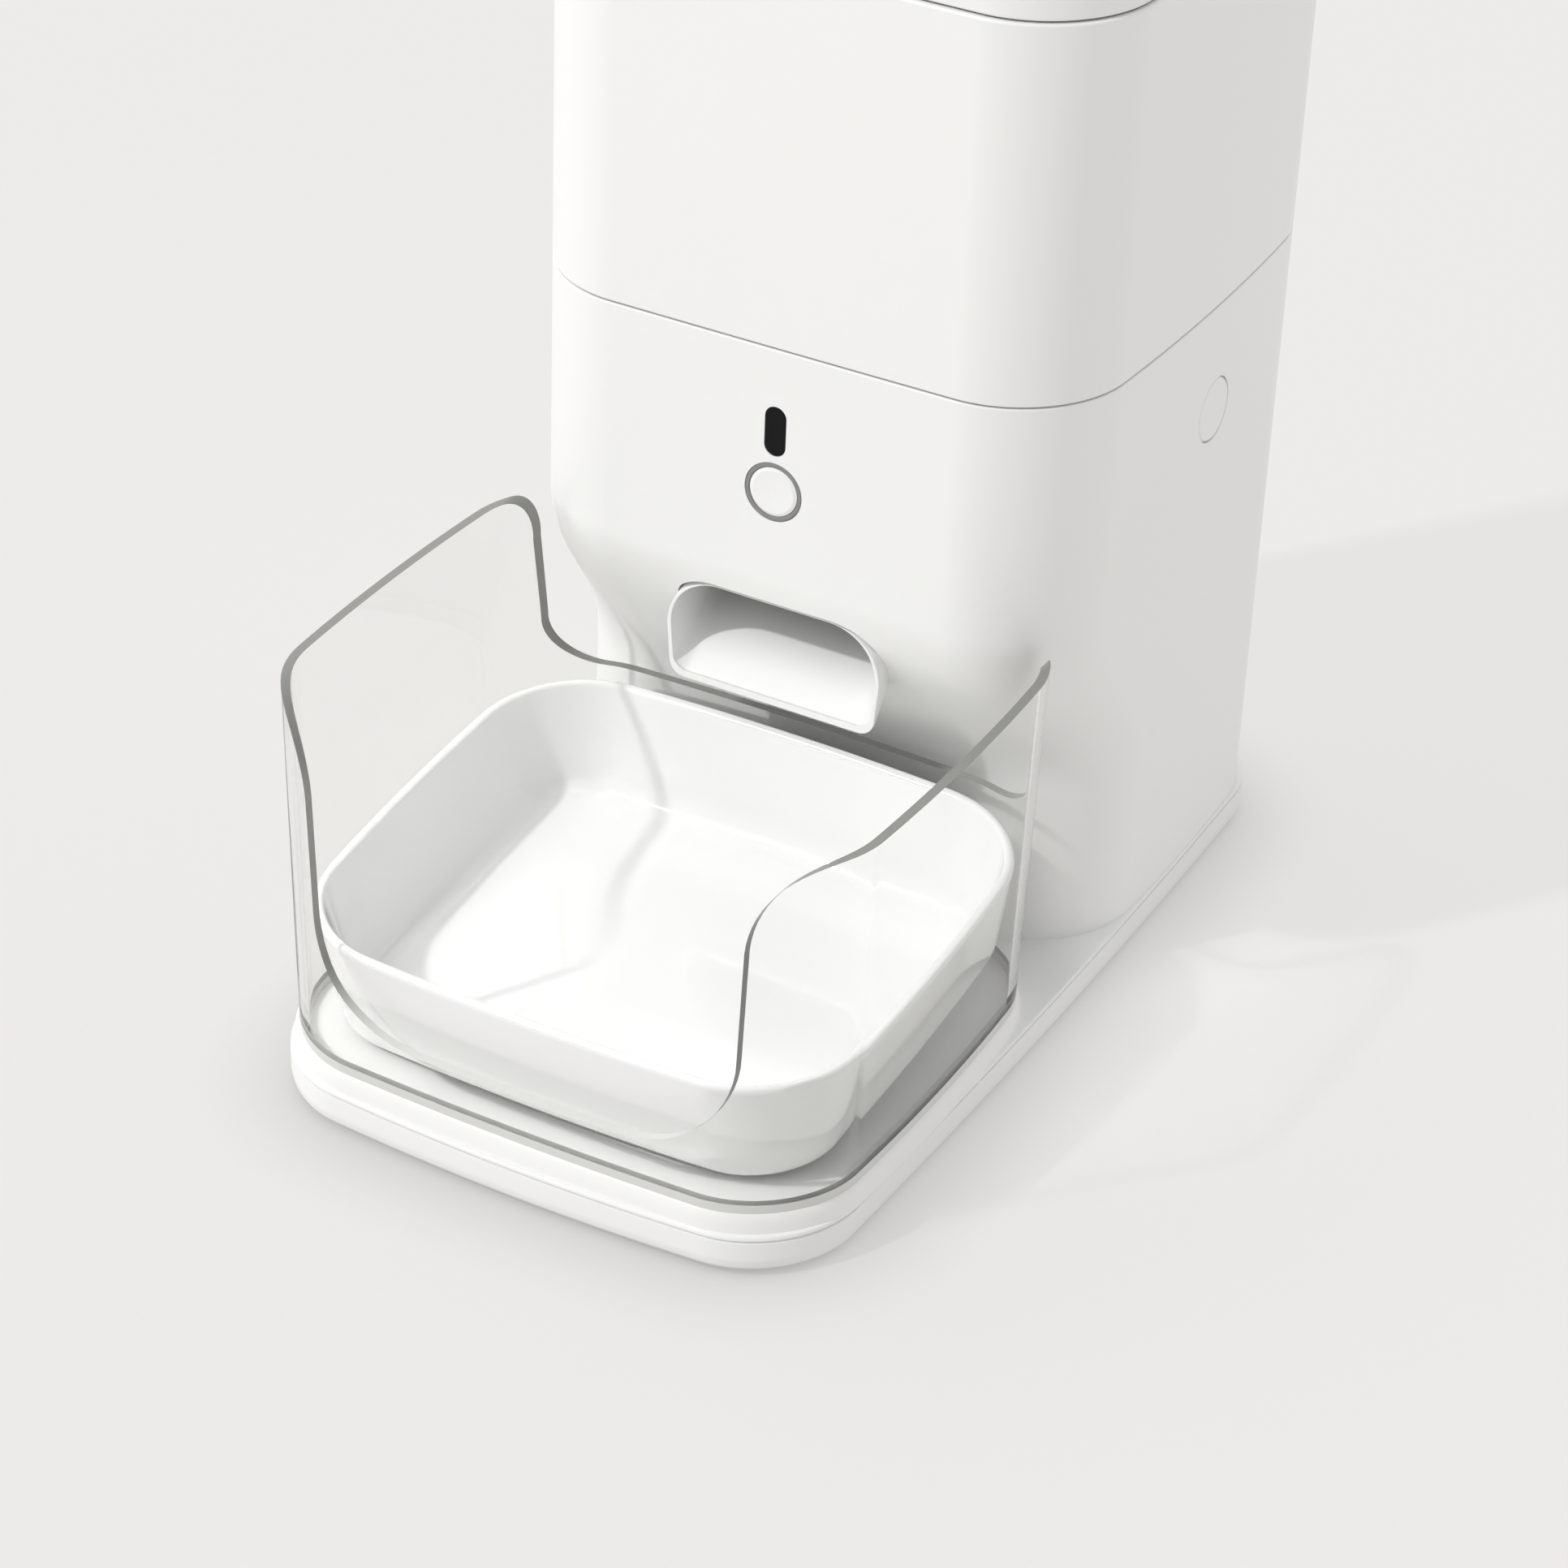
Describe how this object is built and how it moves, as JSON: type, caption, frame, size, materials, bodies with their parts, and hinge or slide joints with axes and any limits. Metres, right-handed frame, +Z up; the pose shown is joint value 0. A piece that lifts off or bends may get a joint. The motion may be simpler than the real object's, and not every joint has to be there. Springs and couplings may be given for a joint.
{
  "type": "automatic pet feeder",
  "caption": "Tall white dry-food feeder: a lidded food tank over a motor-driven portion rotor and a front chute, with a long base that carries a tilted bowl inside a clear splash guard.",
  "frame": {"origin": "centre of the footprint on the floor", "axes": "+Z up, the chute and the bowl face -Y, +X to the right seen from the front"},
  "size_m": [0.1944, 0.33, 0.3513],
  "materials": {
    "housing_white": "fine satin",
    "foot_rubber": "matt",
    "screw_steel": "plated",
    "spring_steel": "bright",
    "shaft_steel": "ground",
    "motor_steel": "plated",
    "seal_rubber": "matt",
    "paddle_rubber": "matt",
    "bowl_white": "high gloss",
    "guard_clear": "clear, polished",
    "chute_white": "satin",
    "button_white": "satin",
    "ring_grey": "frosted light guide",
    "window_black": "dark infrared window",
    "board_green": "solder mask",
    "part_black": "moulded",
    "inner_white": "moulded, not finished",
    "acetal_cream": "self-lubricating",
    "pinion_brass": "cut",
    "cell_wrap": "plain foil wrap"
  },
  "bodies": {
    "base": {"base_bottom_cover": "housing_white", "base_top_plate": "housing_white", "rubber_feet": "foot_rubber", "base_screws": "screw_steel", "bowl_seat_pad": "seal_rubber", "lower_housing": "housing_white", "rear_cover": "housing_white", "rear_cover_screws": "screw_steel", "food_chute": "chute_white", "front_button_spring": "spring_steel", "light_ring": "ring_grey", "sensor_window": "window_black", "button_board": "board_green", "button_switch": "part_black", "proximity_sensors": "part_black", "release_springs": "spring_steel", "release_guides": "inner_white", "tank_seat_plate": "inner_white", "seat_plate_screws": "screw_steel", "neck_seal": "seal_rubber", "portion_chamber": "inner_white", "portion_baffle": "acetal_cream", "baffle_wiper": "seal_rubber", "shaft_bushing": "acetal_cream", "idler_axle": "shaft_steel", "gearbox_plate": "inner_white", "gearbox_screws": "screw_steel", "drive_motor": "motor_steel", "main_board": "board_green", "power_socket": "part_black", "battery_box": "inner_white", "batteries": "cell_wrap", "battery_contacts": "spring_steel", "door_hinge_pin": "shaft_steel"},
    "bowl": {"food_bowl": "bowl_white"},
    "guard": {"splash_guard": "guard_clear"},
    "tank": {"food_tank": "housing_white"},
    "lid": {"tank_lid": "housing_white", "lid_seal": "seal_rubber", "desiccant_case": "inner_white"},
    "front_button_cap": {"front_button": "button_white"},
    "release_right": {"release_button_right": "button_white"},
    "release_left": {"release_button_left": "button_white"},
    "rotor": {"rotor_hub": "acetal_cream", "rotor_paddles": "paddle_rubber", "rotor_shaft": "shaft_steel", "agitator": "acetal_cream", "rotor_gear": "acetal_cream"},
    "idler": {"idler_gear": "acetal_cream"},
    "pinion": {"pinion_gear": "pinion_brass", "motor_shaft": "shaft_steel"},
    "rear_door": {"battery_door": "housing_white"}
  },
  "joints": [
    {"name": "bowl_lift", "type": "slide", "parent": "base", "child": "bowl", "axis": [0, 0, 1], "range_m": [0, 0.012]},
    {"name": "guard_lift", "type": "slide", "parent": "base", "child": "guard", "axis": [0, 0, 1], "range_m": [0, 0.008]},
    {"name": "tank_lift", "type": "slide", "parent": "base", "child": "tank", "axis": [0, 0, 1], "range_m": [0, 0.06]},
    {"name": "lid_lift", "type": "slide", "parent": "tank", "child": "lid", "axis": [0, 0, 1], "range_m": [0, 0.04]},
    {"name": "front_button_press", "type": "slide", "parent": "base", "child": "front_button_cap", "axis": [0, 1, 0], "range_m": [0, 0.0012], "stiffness_N_per_m": 300, "springref_m": -0.001},
    {"name": "release_right_press", "type": "slide", "parent": "base", "child": "release_right", "axis": [-1, 0, 0], "range_m": [0, 0.003], "stiffness_N_per_m": 400, "springref_m": -0.002},
    {"name": "release_left_press", "type": "slide", "parent": "base", "child": "release_left", "axis": [1, 0, 0], "range_m": [0, 0.003], "stiffness_N_per_m": 400, "springref_m": -0.002},
    {"name": "rotor_turn", "type": "hinge", "parent": "base", "child": "rotor", "pos_m": [0, 0.07, 0], "axis": [0, 0, 1], "continuous": true},
    {"name": "idler_turn", "type": "hinge", "parent": "base", "child": "idler", "pos_m": [0, 0.102, 0], "axis": [0, 0, 1], "continuous": true},
    {"name": "pinion_turn", "type": "hinge", "parent": "base", "child": "pinion", "pos_m": [0, 0.123, 0], "axis": [0, 0, 1], "continuous": true},
    {"name": "battery_door_swing", "type": "hinge", "parent": "base", "child": "rear_door", "pos_m": [0, 0.162, 0.0195], "axis": [-1, 0, 0], "range_deg": [0, 95]}
  ],
  "couplings": [
    {"joint": "idler_turn", "follows": "rotor_turn", "ratio": -1.2857},
    {"joint": "pinion_turn", "follows": "rotor_turn", "ratio": 2.5714}
  ]
}
